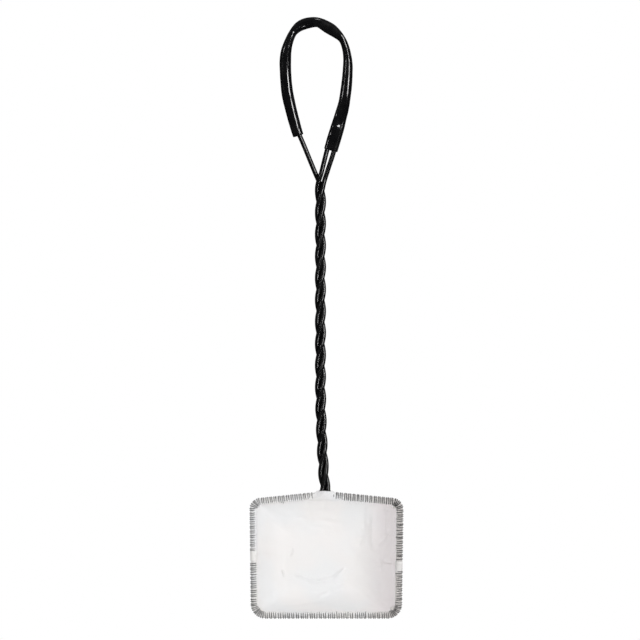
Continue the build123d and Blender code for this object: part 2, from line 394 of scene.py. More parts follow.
@dataclass(frozen=True)
class ThreadFinish(Finish):
    """Spun sewing thread: two plies in a twist, a little fuzzy and uneven in colour."""

    light: Colour = (0.14, 0.14, 0.14)
    dark: Colour = (0.04, 0.04, 0.04)
    ply_length: float = 0.7
    ply_depth: float = 0.05
    soil_size: float = 6.0
    soil_edge: tuple[float, float] = (0.4, 0.75)
    soil_share: float = 0.45
    # Share of painted shade on the hoop's right side
    right_shade_share: float = 0.9
    plies: int = 2
    fuzz_size: float = 0.25
    fuzz_tint: float = 0.5
    fuzz_relief: float = 0.3
    roughness: tuple[float, float] = (0.55, 0.8)
    sheen: float = 0.2
    gloss: float = 0.3

    def cook(self, recipe: Recipe) -> None:
        """Ply grooves run aslant round the thread and are painted darker as shade; soil darkens it in
        patches, and painted shade darkens it on the hoop's right side.

        Args:
            recipe: The material's tree.
        """
        along, around = recipe.weave_axes()
        groove = ((along / self.ply_length + around * self.plies) * TAU).cosine() * 0.5 + 0.5
        fuzz = recipe.speckle(self.fuzz_size)
        soil = recipe.speckle(self.soil_size, detail=3.0).smooth(*self.soil_edge)
        # Painted shade: darker in the ply grooves, mixed with random fuzz tone
        tint = groove * (1 - self.fuzz_tint) + fuzz * self.fuzz_tint
        groove_shaded = recipe.blend(tint, self.dark, self.light)
        # Real soil in random patches, and painted shade on the hoop's right side
        soil_and_shade = (soil * self.soil_share).maximum(recipe.right_side() * self.right_shade_share)
        relief = groove * (1 - self.fuzz_relief) + fuzz * self.fuzz_relief
        recipe.surface({
            "Base Color": recipe.blend(soil_and_shade, groove_shaded, self.dark),
            "Roughness": fuzz.between(*self.roughness),
            "Sheen Weight": self.sheen,
            "Specular IOR Level": self.gloss,
            "Normal": recipe.bump(relief, self.ply_depth),
        })


@dataclass(frozen=True)
class SteelFinish(Finish):
    """Drawn steel at the cut ends of the wire, with fine draw lines and a trace of tarnish."""

    bright: Colour = (0.56, 0.57, 0.58)
    tarnish: Colour = (0.3, 0.28, 0.25)
    stain_size: float = 1.2
    stain_edge: tuple[float, float] = (0.45, 0.7)
    scratch_size: float = 0.12
    scratch_depth: float = 0.01
    scratch_share: float = 0.4
    roughness: tuple[float, float] = (0.25, 0.55)

    def cook(self, recipe: Recipe) -> None:
        """Tarnish dulls and darkens patches between fine scratches.

        Args:
            recipe: The material's tree.
        """
        stain = recipe.speckle(self.stain_size, detail=4.0).smooth(*self.stain_edge)
        scratch = recipe.speckle(self.scratch_size)
        dulled = stain * (1 - self.scratch_share) + scratch * self.scratch_share
        recipe.surface({
            "Base Color": recipe.blend(stain, self.bright, self.tarnish),
            "Metallic": 1.0,
            "Roughness": dulled.between(*self.roughness),
            "Normal": recipe.bump(scratch, self.scratch_depth),
        })


@dataclass(frozen=True)
class FloorFinish(Finish):
    """Pale studio floor, near white to the camera, that still takes the net's soft shadow."""

    paper: Colour = (0.9, 0.9, 0.9)
    pale: Colour = (0.93, 0.93, 0.93)
    grain_size: float = 4.0
    roughness: tuple[float, float] = (0.8, 0.95)
    white_share: float = 0.9

    def cook(self, recipe: Recipe) -> None:
        """Paper with a faint grain, mixed with white light for the rays that show a background.

        Args:
            recipe: The material's tree.
        """
        grain = recipe.speckle(self.grain_size, detail=3.0)
        paper = recipe.node("ShaderNodeBsdfPrincipled", sockets={
            "Base Color": recipe.blend(grain, self.paper, self.pale),
            "Roughness": grain.between(*self.roughness),
        })
        glow = recipe.node("ShaderNodeEmission", sockets={"Strength": 1.0})
        seen = background_rays(recipe) * self.white_share
        shaders = {0: seen, 1: paper.outputs[0], 2: glow.outputs[0]}
        mixed = recipe.node("ShaderNodeMixShader", sockets=shaders)
        recipe.node("ShaderNodeOutputMaterial", sockets={"Surface": mixed.outputs[0]})


def background_rays(recipe: Recipe) -> Value:
    """Tells the rays that show the background from the others.

    Args:
        recipe: The tree that asks.

    Returns:
        1 for camera and see-through rays, 0 for the rest.
    """
    path = recipe.node("ShaderNodeLightPath")
    kinds = ("Camera", "Transmission")
    camera, through = (Value(recipe, path.outputs[f"Is {kind} Ray"]) for kind in kinds)
    return camera.maximum(through)


COAT = VinylFinish("wire_coat_vinyl", ripple_depth=0.006, roughness=(0.2, 0.3), gloss=0.5, coat=0.1)
SLEEVE_VINYL = VinylFinish(
    "grip_sleeve_vinyl", ripple_size=6.0, ripple_depth=0.05, roughness=(0.12, 0.2), gloss=0.5, coat=0.3
)
# The last colour of each mesh finish is painted shade on the hoop's right side
BAG_MESH = MeshFinish("bag_mesh", cover=0.45, right_shade_colour=(0.8, 0.72, 0.73))
HEM_MESH = MeshFinish(
    "hem_mesh", cover=1.2, cool=(0.87, 0.87, 0.88), warm=(0.88, 0.86, 0.84), right_shade_colour=(0.67, 0.64, 0.62)
)
FOLDED_MESH = MeshFinish(
    "folded_mesh", cover=2.0, cool=(0.8, 0.8, 0.81), warm=(0.82, 0.8, 0.78), right_shade_colour=(0.72, 0.7, 0.69)
)
# Painted light: a lighter copy of the bag's mesh, to offset the shade on the seams behind the bag
LIGHTENED_SEAM_MESH = MeshFinish("seam_mesh", cover=-0.3, cool=(0.9, 0.9, 0.91), warm=(0.92, 0.9, 0.88))
THREAD = ThreadFinish("grey_overlock_thread")
SEAM_THREAD = ThreadFinish("white_seam_thread", light=(0.92, 0.92, 0.92), dark=(0.84, 0.84, 0.84))
STEEL = SteelFinish("cut_steel")
FLOOR = FloorFinish("studio_floor")


def unit(vectors: np.ndarray) -> np.ndarray:
    """Vectors of length one along the last axis."""
    return vectors / np.maximum(np.linalg.norm(vectors, axis=-1, keepdims=True), 1e-9)


def ease(t: np.ndarray | float) -> np.ndarray | float:
    """Smooth step of a share, held between 0 and 1."""
    t = np.clip(t, 0.0, 1.0)
    return t * t * (3 - 2 * t)


def lengths(path: np.ndarray) -> np.ndarray:
    """Distance along a path to each of its places."""
    return np.concatenate([[0.0], np.cumsum(np.linalg.norm(np.diff(path, axis=0), axis=1))])


def flat_grid(along: np.ndarray, across: np.ndarray) -> np.ndarray:
    """Flat coordinates of a grid, from those of its rows and of its columns."""
    return np.stack(np.broadcast_arrays(along[:, None], across[None, :]), axis=-1)


def leftward(heading: np.ndarray) -> np.ndarray:
    """Directions to the left of a heading, as seen from the front."""
    return np.stack([-heading[..., 2], np.zeros(heading.shape[:-1]), heading[..., 0]], axis=-1)


class Route:
    """A line through space that is read by the distance along it."""

    def __init__(self, points: np.ndarray, closed: bool = False) -> None:
        """Measures the line.

        Args:
            points: Places on the line, close together.
            closed: True where the last place leads back to the first.
        """
        self.points = np.vstack([points, points[:1]]) if closed else np.asarray(points, float)
        self.marks = lengths(self.points)
        self.closed = closed

    @property
    def length(self) -> float:
        """Length of the whole line."""
        return float(self.marks[-1])

    def at(self, distance: np.ndarray) -> np.ndarray:
        """Places at distances along the line."""
        where = np.mod(distance, self.length) if self.closed else distance
        return np.stack([np.interp(where, self.marks, axis) for axis in self.points.T], axis=-1)

    def heading(self, distance: np.ndarray, reach: float = 0.4) -> np.ndarray:
        """Directions of travel at distances along the line."""
        return unit(self.at(distance + reach) - self.at(distance - reach))

    def nearest(self, place: np.ndarray, steps: int = 4000) -> float:
        """Distance along the line to its point nearest to a place."""
        marks = np.linspace(0.0, self.length, steps)
        return float(marks[np.argmin(np.linalg.norm(self.at(marks) - place, axis=1))])


@dataclass
class Sheet:
    """A grid of places with the flat coordinates of each, ready to be made into a mesh."""

    places: np.ndarray
    flat: np.ndarray
    wrapped: bool = False
    capped: bool = False
    pole: np.ndarray | None = None


def make_piece(name: str, sheets: Sequence[Sheet], finish: Finish, slot: Slot) -> bpy.types.Object:
    """Makes one smooth mesh object of several grids and rides it on the part.

    Args:
        name: Name of the piece.
        sheets: Grids in millimetres. A wrapped grid has one more column of flat coordinates.
        finish: Its surface finish.
        slot: The record's material slot. Not used.

    Returns:
        The object, linked to the scene.
    """
    vertices: list[np.ndarray] = []
    faces: list[tuple[int, ...]] = []
    flat: list[np.ndarray] = []
    base = 0
    for sheet in sheets:
        rows, columns = sheet.places.shape[:2]
        vertices.append(sheet.places.reshape(-1, 3))
        spans = columns if sheet.wrapped else columns - 1
        grid = np.meshgrid(np.arange(rows - 1), np.arange(spans), indexing="ij")
        row, column = (axis.ravel() for axis in grid)
        after = (column + 1) % columns
        quads = np.stack([
            row * columns + column, row * columns + after,
            (row + 1) * columns + after, (row + 1) * columns + column,
        ], axis=1) + base
        faces.extend(map(tuple, quads.tolist()))
        corners = [(row, column), (row, column + 1), (row + 1, column + 1), (row + 1, column)]
        flat.append(np.stack([sheet.flat[i, j] for i, j in corners], axis=1).reshape(-1, 2))
        count = rows * columns
        if sheet.capped:
            for end, ring in ((0, range(columns)), (rows - 1, reversed(range(columns)))):
                order = list(ring)
                faces.append(tuple(base + end * columns + j for j in reversed(order)))
                flat.append(sheet.flat[end, order])
        if sheet.pole is not None:
            vertices.append(sheet.pole[None, :3])
            last = base + (rows - 1) * columns
            for j in range(columns):
                faces.append((last + j, last + (j + 1) % columns, base + count))
                flat.append(np.stack([sheet.flat[-1, j], sheet.flat[-1, j + 1], sheet.pole[3:]]))
            count += 1
        base += count
    mesh = bpy.data.meshes.new(name)
    mesh.from_pydata((np.vstack(vertices) * MM).tolist(), [], faces)
    layer = mesh.uv_layers.new(name=WEAVE_MAP)
    layer.data.foreach_set("uv", np.vstack(flat).astype(np.float32).ravel())
    mesh.shade_smooth()
    mesh.materials.append(finish.material())
    piece = bpy.data.objects.new(name, mesh)
    bpy.context.scene.collection.objects.link(piece)
    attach(piece, BODY)
    LOG.info("%s: %d faces", name, len(mesh.polygons))
    return piece


def tube_sheet(path: np.ndarray, radius: np.ndarray | float, sides: int) -> Sheet:
    """Closed round tube along a path, for a thread.

    Args:
        path: Places along the tube's middle.
        radius: Its radius, even or at each place.
        sides: Sides of its section.

    Returns:
        A wrapped and capped grid, with length and turns as its flat coordinates.
    """
    heading = unit(np.gradient(path, axis=0))
    across = np.zeros_like(path)
    across[0] = unit(np.cross(heading[0], ASKEW))
    for i in range(1, len(path)):
        across[i] = unit(across[i - 1] - heading[i] * np.dot(across[i - 1], heading[i]))
    other = np.cross(heading, across)
    angle = np.arange(sides) * TAU / sides
    ring = across[:, None] * np.cos(angle)[:, None] + other[:, None] * np.sin(angle)[:, None]
    places = path[:, None] + ring * np.broadcast_to(radius, len(path))[:, None, None]
    flat = flat_grid(lengths(path), np.arange(sides + 1) / sides)
    return Sheet(places, flat, wrapped=True, capped=True)


def ripple(places: np.ndarray, size: float, seed: float) -> np.ndarray:
    """Smooth noise in space.

    Args:
        places: Where it is read.
        size: Size of its waves.
        seed: Shift that sets one noise apart from another.

    Returns:
        About -1 to 1 at each place.
    """
    shift = Vector((seed, seed * 1.7, -seed))
    flat = places.reshape(-1, 3) / size
    return np.array([noise.noise(Vector(p) + shift) for p in flat]).reshape(places.shape[:-1])


@dataclass(frozen=True)
class Swell:
    """Soft unevenness of a surface: its height, the size of its waves and its seed."""

    height: float
    size: float
    seed: float

    def lift(self, places: np.ndarray) -> np.ndarray:
        """How far it raises each place."""
        return self.height * ripple(places, self.size, self.seed)


@dataclass
class WireFrame:
    """The vinyl-coated wire: its modelled strands, hoop and loop, with their surface finish."""

    nodes: Mapping[str, bpy.types.Object]
    coats: tuple[str, ...] = (
        "stub_strand_coat", "hoop_coat", "left_strand_coat", "grip_loop_coat", "return_strand_coat",
    )
    core: str = "steel_wire"

    def dress(self) -> None:
        """Gives the coats and the steel core their finishes."""
        for name in (*self.coats, self.core):
            finish = STEEL if name == self.core else COAT
            node = self.nodes[name]
            node.data.materials.clear()
            node.data.materials.append(finish.material())
            LOG.info("%s: dressed", name)


@dataclass(frozen=True)
class SleeveStation:
    """A place on the sleeve's middle line, its width there and how far it stands to the front."""

    x: float
    z: float
    width: float
    front: float = 0.0


@dataclass
class GripSleeve:
    """Soft vinyl tube bent round the hand loop: flattened, kinked and stretched over two wires."""

    stations: tuple[SleeveStation, ...] = tuple(SleeveStation(*sizes) for sizes in (
        (-14.45, -72.4, 7.3),
        (-16.25, -66.7, 7.5),
        (-20.85, -48.7, 7.8),
        (-22.65, -36.7, 7.7),
        (-23.15, -22.7, 7.8, 0.6),
        (-22.6, -16.7, 7.2, 0.9),
        (-21.7, -12.7, 6.6, 1.0),
        (-20.3, -8.7, 5.7, 0.9),
        (-17.7, -3.4, 5.3, 0.6),
        (-13.2, 0.9, 7.2, 0.2),
        (-7.8, 2.8, 7.3),
        (-3.7, 3.3, 6.6),
        (-1.0, 3.1, 6.3),
        (1.6, 1.8, 7.1),
        (4.5, 0.1, 7.8),
        (7.4, -1.5, 7.9),
        (10.3, -3.6, 7.0),
        (14.7, -7.9, 4.8),
        (16.85, -12.7, 5.0, -0.7),
        (17.8, -16.7, 5.3, -0.6),
        (18.5, -22.7, 6.1, -0.35),
        (18.45, -28.7, 6.7, 0.0),
        (18.0, -36.7, 7.2, 0.4),
        (16.45, -48.7, 7.6, 0.7),
        (15.1, -54.7, 8.1, 0.5),
        (13.4, -60.7, 8.8),
        (11.75, -66.7, 9.2),
        (9.9, -72.7, 9.5),
        (7.2, -82.3, 9.3),
    ))
    girth_diameter: float = 7.1
    squareness: float = 0.86
    flattening: float = 0.5
    least_depth: float = 3.0
    wall: float = 0.55
    pair_from: float = 150.0
    pair_blend: float = 14.0
    pair_depth: float = 5.3
    pair_pinch: float = 0.3
    pinch_power: int = 6
    stub_top: tuple[float, float] = (9.4, -66.4)
    stub_bulge: float = 1.2
    stub_spread: float = 3.4
    easing: int = 10
    swells: tuple[Swell, ...] = (Swell(0.16, 9.0, 3.1), Swell(0.05, 3.0, 5.7))
    kink_depth: float = 0.4
    kink_spread: float = 1.7
    kinks: tuple[tuple[float, float], ...] = ((-17.2, -4.0), (13.6, -8.2), (-0.8, 1.6))
    span_steps: int = 24
    rows: int = 260
    sides: int = 48

    def middle(self) -> tuple[np.ndarray, np.ndarray]:
        """Draws a smooth line through the stations.

        Returns:
            The middle line and the width, on evenly spaced rows.
        """
        knots = np.array([[s.x, -s.front, s.z, s.width] for s in self.stations])
        ahead = np.vstack([knots[1:], 2 * knots[-1] - knots[-2]])
        behind = np.vstack([2 * knots[0] - knots[1], knots[:-1]])
        slope = (ahead - behind) / 2
        t = np.linspace(0.0, 1.0, self.span_steps, endpoint=False)[:, None]
        leave, arrive = 2 * t**3 - 3 * t**2 + 1, 3 * t**2 - 2 * t**3
        leave_slope, arrive_slope = t**3 - 2 * t**2 + t, t**3 - t**2
        spans = [
            leave * a + leave_slope * da + arrive * b + arrive_slope * db
            for a, da, b, db in zip(knots, slope, knots[1:], slope[1:])
        ]
        dense = np.vstack([*spans, knots[-1:]])
        route = Route(dense[:, :3])
        marks = np.linspace(0.0, route.length, self.rows)
        return route.at(marks), np.interp(marks, route.marks, dense[:, 3])

    def build(self) -> bpy.types.Object:
        """Makes the sleeve and puts it in place of the plain tube.

        Returns:
            The sleeve.
        """
        middle, width = self.middle()
        along = lengths(middle)
        outward = unit(leftward(unit(np.gradient(middle, axis=0))))
        pair = ease((along - self.pair_from) / self.pair_blend)
        slack = np.sqrt(np.maximum(2 * self.girth_diameter**2 - width**2, self.least_depth**2))
        round_depth = self.girth_diameter + (slack - self.girth_diameter) * self.flattening
        depth = round_depth * (1 - pair) + self.pair_depth * pair
        angle = np.arange(self.sides) * TAU / self.sides
        cosine, sine = np.cos(angle), np.sin(angle)
        power = (self.squareness + (1 - self.squareness) * pair)[:, None]
        side = np.sign(cosine) * np.abs(cosine) ** power
        face = np.sign(sine) * np.abs(sine) ** power
        pinch = 1 - pair[:, None] * self.pair_pinch * np.abs(sine)[None] ** self.pinch_power
        places = (
            middle[:, None]
            + outward[:, None] * (side * width[:, None] / 2)[..., None]
            + FRONT * (face * depth[:, None] / 2 * pinch)[..., None]
        )
        places = self.softened(places)
        places = places + self.relief(places, middle, sine)
        sheet = Sheet(places, flat_grid(along, np.arange(self.sides + 1) / self.sides), wrapped=True)
        piece = make_piece("soft_grip_sleeve", [sheet], SLEEVE_VINYL, Slot.SLEEVE)
        wall = piece.modifiers.new("wall", "SOLIDIFY")
        wall.thickness = self.wall * MM
        wall.offset = -1.0
        wall.use_quality_normals = True
        rounding = piece.modifiers.new("rounding", "SUBSURF")
        rounding.levels = rounding.render_levels = 1
        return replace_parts(piece, "grip_sleeve")

    def softened(self, places: np.ndarray) -> np.ndarray:
        """Eases the tube's sharp bends along its length, and leaves its two ends.

        Args:
            places: The tube.

        Returns:
            The eased tube.
        """
        eased = places.copy()
        for _ in range(self.easing):
            eased[1:-1] = (eased[:-2] + 2 * eased[1:-1] + eased[2:]) / 4
        return eased

    def relief(self, places: np.ndarray, middle: np.ndarray, sine: np.ndarray) -> np.ndarray:
        """Soft unevenness, the bulge over the wire's end, and the creases at the kinks.

        Args:
            places: The smooth tube.
            middle: Its middle line.
            sine: How far each of its sides faces the front.

        Returns:
            How far each place moves.
        """
        out = unit(places - middle[:, None])
        lift = sum(swell.lift(places) for swell in self.swells)
        x, z = places[..., 0], places[..., 2]
        stub = np.hypot(x - self.stub_top[0], z - self.stub_top[1])
        bulge = self.stub_bulge * np.exp(-((stub / self.stub_spread) ** 2))
        lift = lift + bulge * np.maximum(sine, 0.0)[None]
        for kink_x, kink_z in self.kinks:
            away = np.hypot(x - kink_x, z - kink_z)
            crease = self.kink_depth * np.exp(-((away / self.kink_spread) ** 2))
            lift = lift - crease * np.abs(sine)[None] ** 0.5
        return out * lift[..., None]


@dataclass(frozen=True)
class HoopOutline:
    """The hoop wire's middle line, a rounded frame with a low peak at the foot of the shank."""

    width: float = 98.5
    taper: float = 1.0
    side: float = 75.8
    rise: float = 5.0
    shift: float = 4.3
    foot_x: float = 3.25
    peak: float = -311.5
    top_radius: float = 5.5
    bottom_radius: float = 7.5
    seam_drop: Mapping[Side, float] = field(
        default_factory=lambda: {Side.LEFT: 35.5, Side.RIGHT: 43.2}
    )

    def corner(self, side: Side, drop: float) -> np.ndarray:
        """Place on a side wire, that far below the hoop's shoulder."""
        x = self.shift + side.value * (self.width / 2 - self.taper * drop / self.side)
        return np.array([x, 0.0, self.peak - self.rise - drop])

    def foot(self) -> np.ndarray:
        """The peak, under the shank."""
        return np.array([self.foot_x, 0.0, self.peak])

    def seam(self, side: Side) -> float:
        """Distance along the hoop to the seam on a side."""
        return self.route().nearest(self.corner(side, self.seam_drop[side]))

    def route(self) -> Route:
        """Joins the hoop's bars and its rounded corners.

        Returns:
            The whole outline, clockwise from the foot as seen from the front.
        """
        corners = [
            self.foot(),
            self.corner(Side.RIGHT, 0.0),
            self.corner(Side.RIGHT, self.side),
            self.corner(Side.LEFT, self.side),
            self.corner(Side.LEFT, 0.0),
        ]
        radii = [0.0, self.top_radius, self.bottom_radius, self.bottom_radius, self.top_radius]
        points: list[np.ndarray] = []
        for i, (place, radius) in enumerate(zip(corners, radii)):
            before, after = corners[i - 1], corners[(i + 1) % len(corners)]
            points.extend(self.rounded(before, place, after, radius))
        return Route(np.array(points), closed=True)

    @staticmethod
    def rounded(
        before: np.ndarray, place: np.ndarray, after: np.ndarray, radius: float
    ) -> list[np.ndarray]:
        """Rounds a corner.

        Args:
            before: The corner before it.
            place: The corner.
            after: The corner after it.
            radius: Its radius, or 0.

        Returns:
            Places round the corner, or the corner itself where it has no radius.
        """
        if not radius:
            return [place]
        back, on = unit(before - place), unit(after - place)
        half = math.acos(float(np.dot(back, on))) / 2
        centre = place + unit(back + on) * radius / math.sin(half)
        start = place + back * radius / math.tan(half) - centre
        end = place + on * radius / math.tan(half) - centre
        turn = math.pi - 2 * half
        return [
            centre + (start * math.sin((1 - k) * turn) + end * math.sin(k * turn)) / math.sin(turn)
            for k in np.linspace(0.0, 1.0, CORNER_STEPS)
        ]


class Edge:
    """A line with a direction outward from it, round which cloth folds and thread is wound."""

    def __init__(self, route: Route, outward: np.ndarray | None = None) -> None:
        """Keeps the line and its outward directions.

        Args:
            route: The line.
            outward: Directions at the route's own points, or None to point left of its travel.
        """
        self.route = route
        self.outward = outward

    def around(self, distance: np.ndarray) -> tuple[np.ndarray, np.ndarray, np.ndarray]:
        """Reads the edge.

        Args:
            distance: Distances along the line.

        Returns:
            Places, outward directions and front directions there.
        """
        heading = self.route.heading(distance)
        if self.outward is None:
            out = leftward(heading)
        else:
            axes = [np.interp(distance, self.route.marks, axis) for axis in self.outward.T]
            out = np.stack(axes, axis=-1)
        return self.route.at(distance), unit(out), unit(np.cross(heading, out))


def corner_share(outward: np.ndarray) -> np.ndarray:
    """0 on the hoop's straight sides to 1 halfway round its corners."""
    return np.abs(2 * outward[..., 0] * outward[..., 2])


@dataclass
class Overlock:
    """Overlock stitching: thread that loops round an edge, once a stitch."""

    across: float = 2.0
    through: float = 2.08
    pitch: float = 1.5
    reach: float = 0.15
    corner_reach: float = 1.2
    corner_crowd: float = 0.35
    slant: float = -0.3
    zigzag: float = 0.2
    zigzag_span: tuple[float, float] = (0.3, 1.0)
    wander: float = 0.13
    reach_spread: float = 0.6
    swell_spread: float = 0.025
    thread_radius: float = 0.2
    sides: int = 7
    steps: int = 18
    count_steps: int = 2000

    def thread(self, edge: Edge, start: float, end: float, seed: int) -> Sheet:
        """The thread of one run.

        Args:
            edge: The edge that is stitched.
            start: Distance along it where the run starts.
            end: Distance where it ends.
            seed: Seed of the stitches' unevenness.

        Returns:
            The thread, loop after loop.
        """
        random = np.random.default_rng(seed)
        marks, stitches = self.counted(edge, start, end)
        count = max(int(stitches[-1]), 2)
        knots = np.arange(count + 1)
        wander = random.normal(0.0, self.wander, count + 1)
        turned = self.zigzag * (-1.0) ** np.arange(count)
        slant = self.slant + turned * random.uniform(*self.zigzag_span, count)
        reach = self.reach * random.lognormal(0.0, self.reach_spread, count + 1)
        swell = 1 + random.normal(0.0, self.swell_spread, count + 1)
        t = np.linspace(0.0, count, count * self.steps + 1)
        phase = np.mod(t, 1.0)
        phase[-1] = 1.0
        stitch = np.floor(np.minimum(t, count - 1e-6))
        lean = slant[stitch.astype(int)]
        advance = np.where(phase < 0.5, lean * phase * 2, lean + (1 - lean) * (phase * 2 - 1))
        distance = np.interp(stitch + advance + np.interp(t, knots, wander), stitches, marks)
        turn = math.pi - TAU * phase
        middle, outward, front = edge.around(distance)
        corner = corner_share(outward)
        stretch = np.interp(t, knots, reach) + self.corner_reach * corner
        out = self.across * np.cos(turn) - stretch * np.maximum(-np.cos(turn), 0.0) ** 2
        ahead = self.through * np.sin(turn) * np.interp(t, knots, swell)
        loops = middle + outward * out[:, None] + front * ahead[:, None]
        return tube_sheet(loops, self.thread_radius, self.sides)

    def counted(self, edge: Edge, start: float, end: float) -> tuple[np.ndarray, np.ndarray]:
        """Counts the stitches of a run, which crowd at the corners.

        Args:
            edge: The edge that is stitched.
            start: Distance along it where the run starts.
            end: Distance where it ends.

        Returns:
            Distances along the run, and the stitches up to each.
        """
        marks = np.linspace(start, end, self.count_steps)
        _, outward, _ = edge.around(marks)
        density = (1 + self.corner_crowd * corner_share(outward)) / self.pitch
        steps = (density[1:] + density[:-1]) / 2 * np.diff(marks)
        return marks, np.concatenate([[0.0], np.cumsum(steps)])


@dataclass
class Hem:
    """The bag's edge folded round the hoop wire and overlocked, in three runs."""

    hoop: HoopOutline
    cloth_radius: float = 1.8
    pucker: float = 0.12
    pucker_size: float = 2.0
    drawn_share: float = 0.4
    lip: Mapping[Run, float] = field(
        default_factory=lambda: {Run.UPPER_RIGHT: 0.7, Run.LOWER: 0.8, Run.UPPER_LEFT: 1.1}
    )
    lip_power: int = 2
    corner_gather: float = 3.0
    gather_power: int = 8
    bar_start: Mapping[Run, float] = field(
        default_factory=lambda: {Run.UPPER_RIGHT: 5.0, Run.UPPER_LEFT: 6.4}
    )
    patch: float = 6.4
    fold_overlap: float = 0.5
    fold_rise: float = 0.22
    fold_pucker: float = 0.2
    fold_lip: float = 0.8
    stitch: Overlock = field(default_factory=Overlock)
    thread_radius: Mapping[Run, float] = field(
        default_factory=lambda: {Run.UPPER_RIGHT: 0.27, Run.LOWER: 0.25, Run.UPPER_LEFT: 0.2}
    )
    cloth_seed: float = 7.0
    fold_seed: float = 19.0
    thread_seed: int = 40
    columns: int = 22
    row_step: float = 0.36

    def span(self, run: Run, patch: float) -> tuple[float, float]:
        """Finds where a run lies.

        Args:
            run: The run.
            patch: Length of folded cloth at each seam, of which the run leaves half free.

        Returns:
            Distances along the hoop of its start and its end.
        """
        left, right = (self.hoop.seam(side) for side in Side)
        last = self.hoop.route().length - self.bar_start[Run.UPPER_LEFT]
        ends = {
            Run.UPPER_RIGHT: (self.bar_start[Run.UPPER_RIGHT], right - patch / 2),
            Run.LOWER: (right + patch / 2, left - patch / 2),
            Run.UPPER_LEFT: (left + patch / 2, last),
        }
        return ends[run]

    def casing(
        self, start: float, end: float, radius: float, pucker: float, lip: float, seed: float
    ) -> Sheet:
        """Cloth folded round the wire between two distances along the hoop.

        Args:
            start: Distance along the hoop where the cloth starts.
            end: Distance where it ends.
            radius: Its radius round the wire.
            pucker: Height of its gathers.
            lip: How far the fold stands in from the wire.
            seed: Seed of its unevenness.

        Returns:
            The cloth as a wrapped grid.
        """
        edge = Edge(self.hoop.route())
        marks = np.arange(start, end + self.row_step, self.row_step)
        middle, outward, front = edge.around(marks)
        angle = np.arange(self.columns) * TAU / self.columns
        out = outward[:, None] * np.cos(angle)[:, None] + front[:, None] * np.sin(angle)[:, None]
        corner, inner = corner_share(outward)[:, None], np.maximum(-np.cos(angle), 0.0)
        gather = lip * (1 - corner) * inner**self.lip_power
        gather = gather + self.corner_gather * corner**2 * inner**self.gather_power
        plain = middle[:, None] + out * (radius + gather)[..., None]
        drawn = np.cos(marks * TAU / self.stitch.pitch)[:, None] * self.drawn_share
        drawn = drawn + ripple(plain, self.pucker_size, seed)
        places = plain + out * (pucker * drawn)[..., None]
        turns = np.arange(self.columns + 1) * TAU / self.columns * radius
        return Sheet(places, flat_grid(marks, turns), wrapped=True)

    def build(self) -> list[bpy.types.Object]:
        """Makes the casings, their stitching and the folded cloth at the two seams.

        Returns:
            The pieces.
        """
        pieces = []
        for seed, run in enumerate(Run):
            start, end = self.span(run, 0.0)
            sheet = self.casing(
                start, end, self.cloth_radius, self.pucker, self.lip[run], self.cloth_seed + seed
            )
            casing = make_piece(f"hem_casing_{run.value}", [sheet], HEM_MESH, Slot.MESH)
            pieces.append(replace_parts(casing, f"hem_{run.value}"))
            start, end = self.span(run, self.patch)
            stitch = replace(self.stitch, thread_radius=self.thread_radius[run])
            loops = stitch.thread(Edge(self.hoop.route()), start, end, self.thread_seed + seed)
            thread = make_piece(f"overlock_{run.value}", [loops], THREAD, Slot.THREAD)
            pieces.append(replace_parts(thread, f"hem_thread_{run.value}"))
        for side, drop in self.hoop.seam_drop.items():
            seam = self.hoop.seam(side)
            half = self.patch / 2 + self.fold_overlap
            radius = self.cloth_radius + self.fold_rise
            sheet = self.casing(
                seam - half, seam + half, radius, self.fold_pucker, self.fold_lip, self.fold_seed + drop
            )
            name = f"seam_fold_{side.name.lower()}"
            pieces.append(make_piece(name, [sheet], FOLDED_MESH, Slot.MESH))
        return pieces


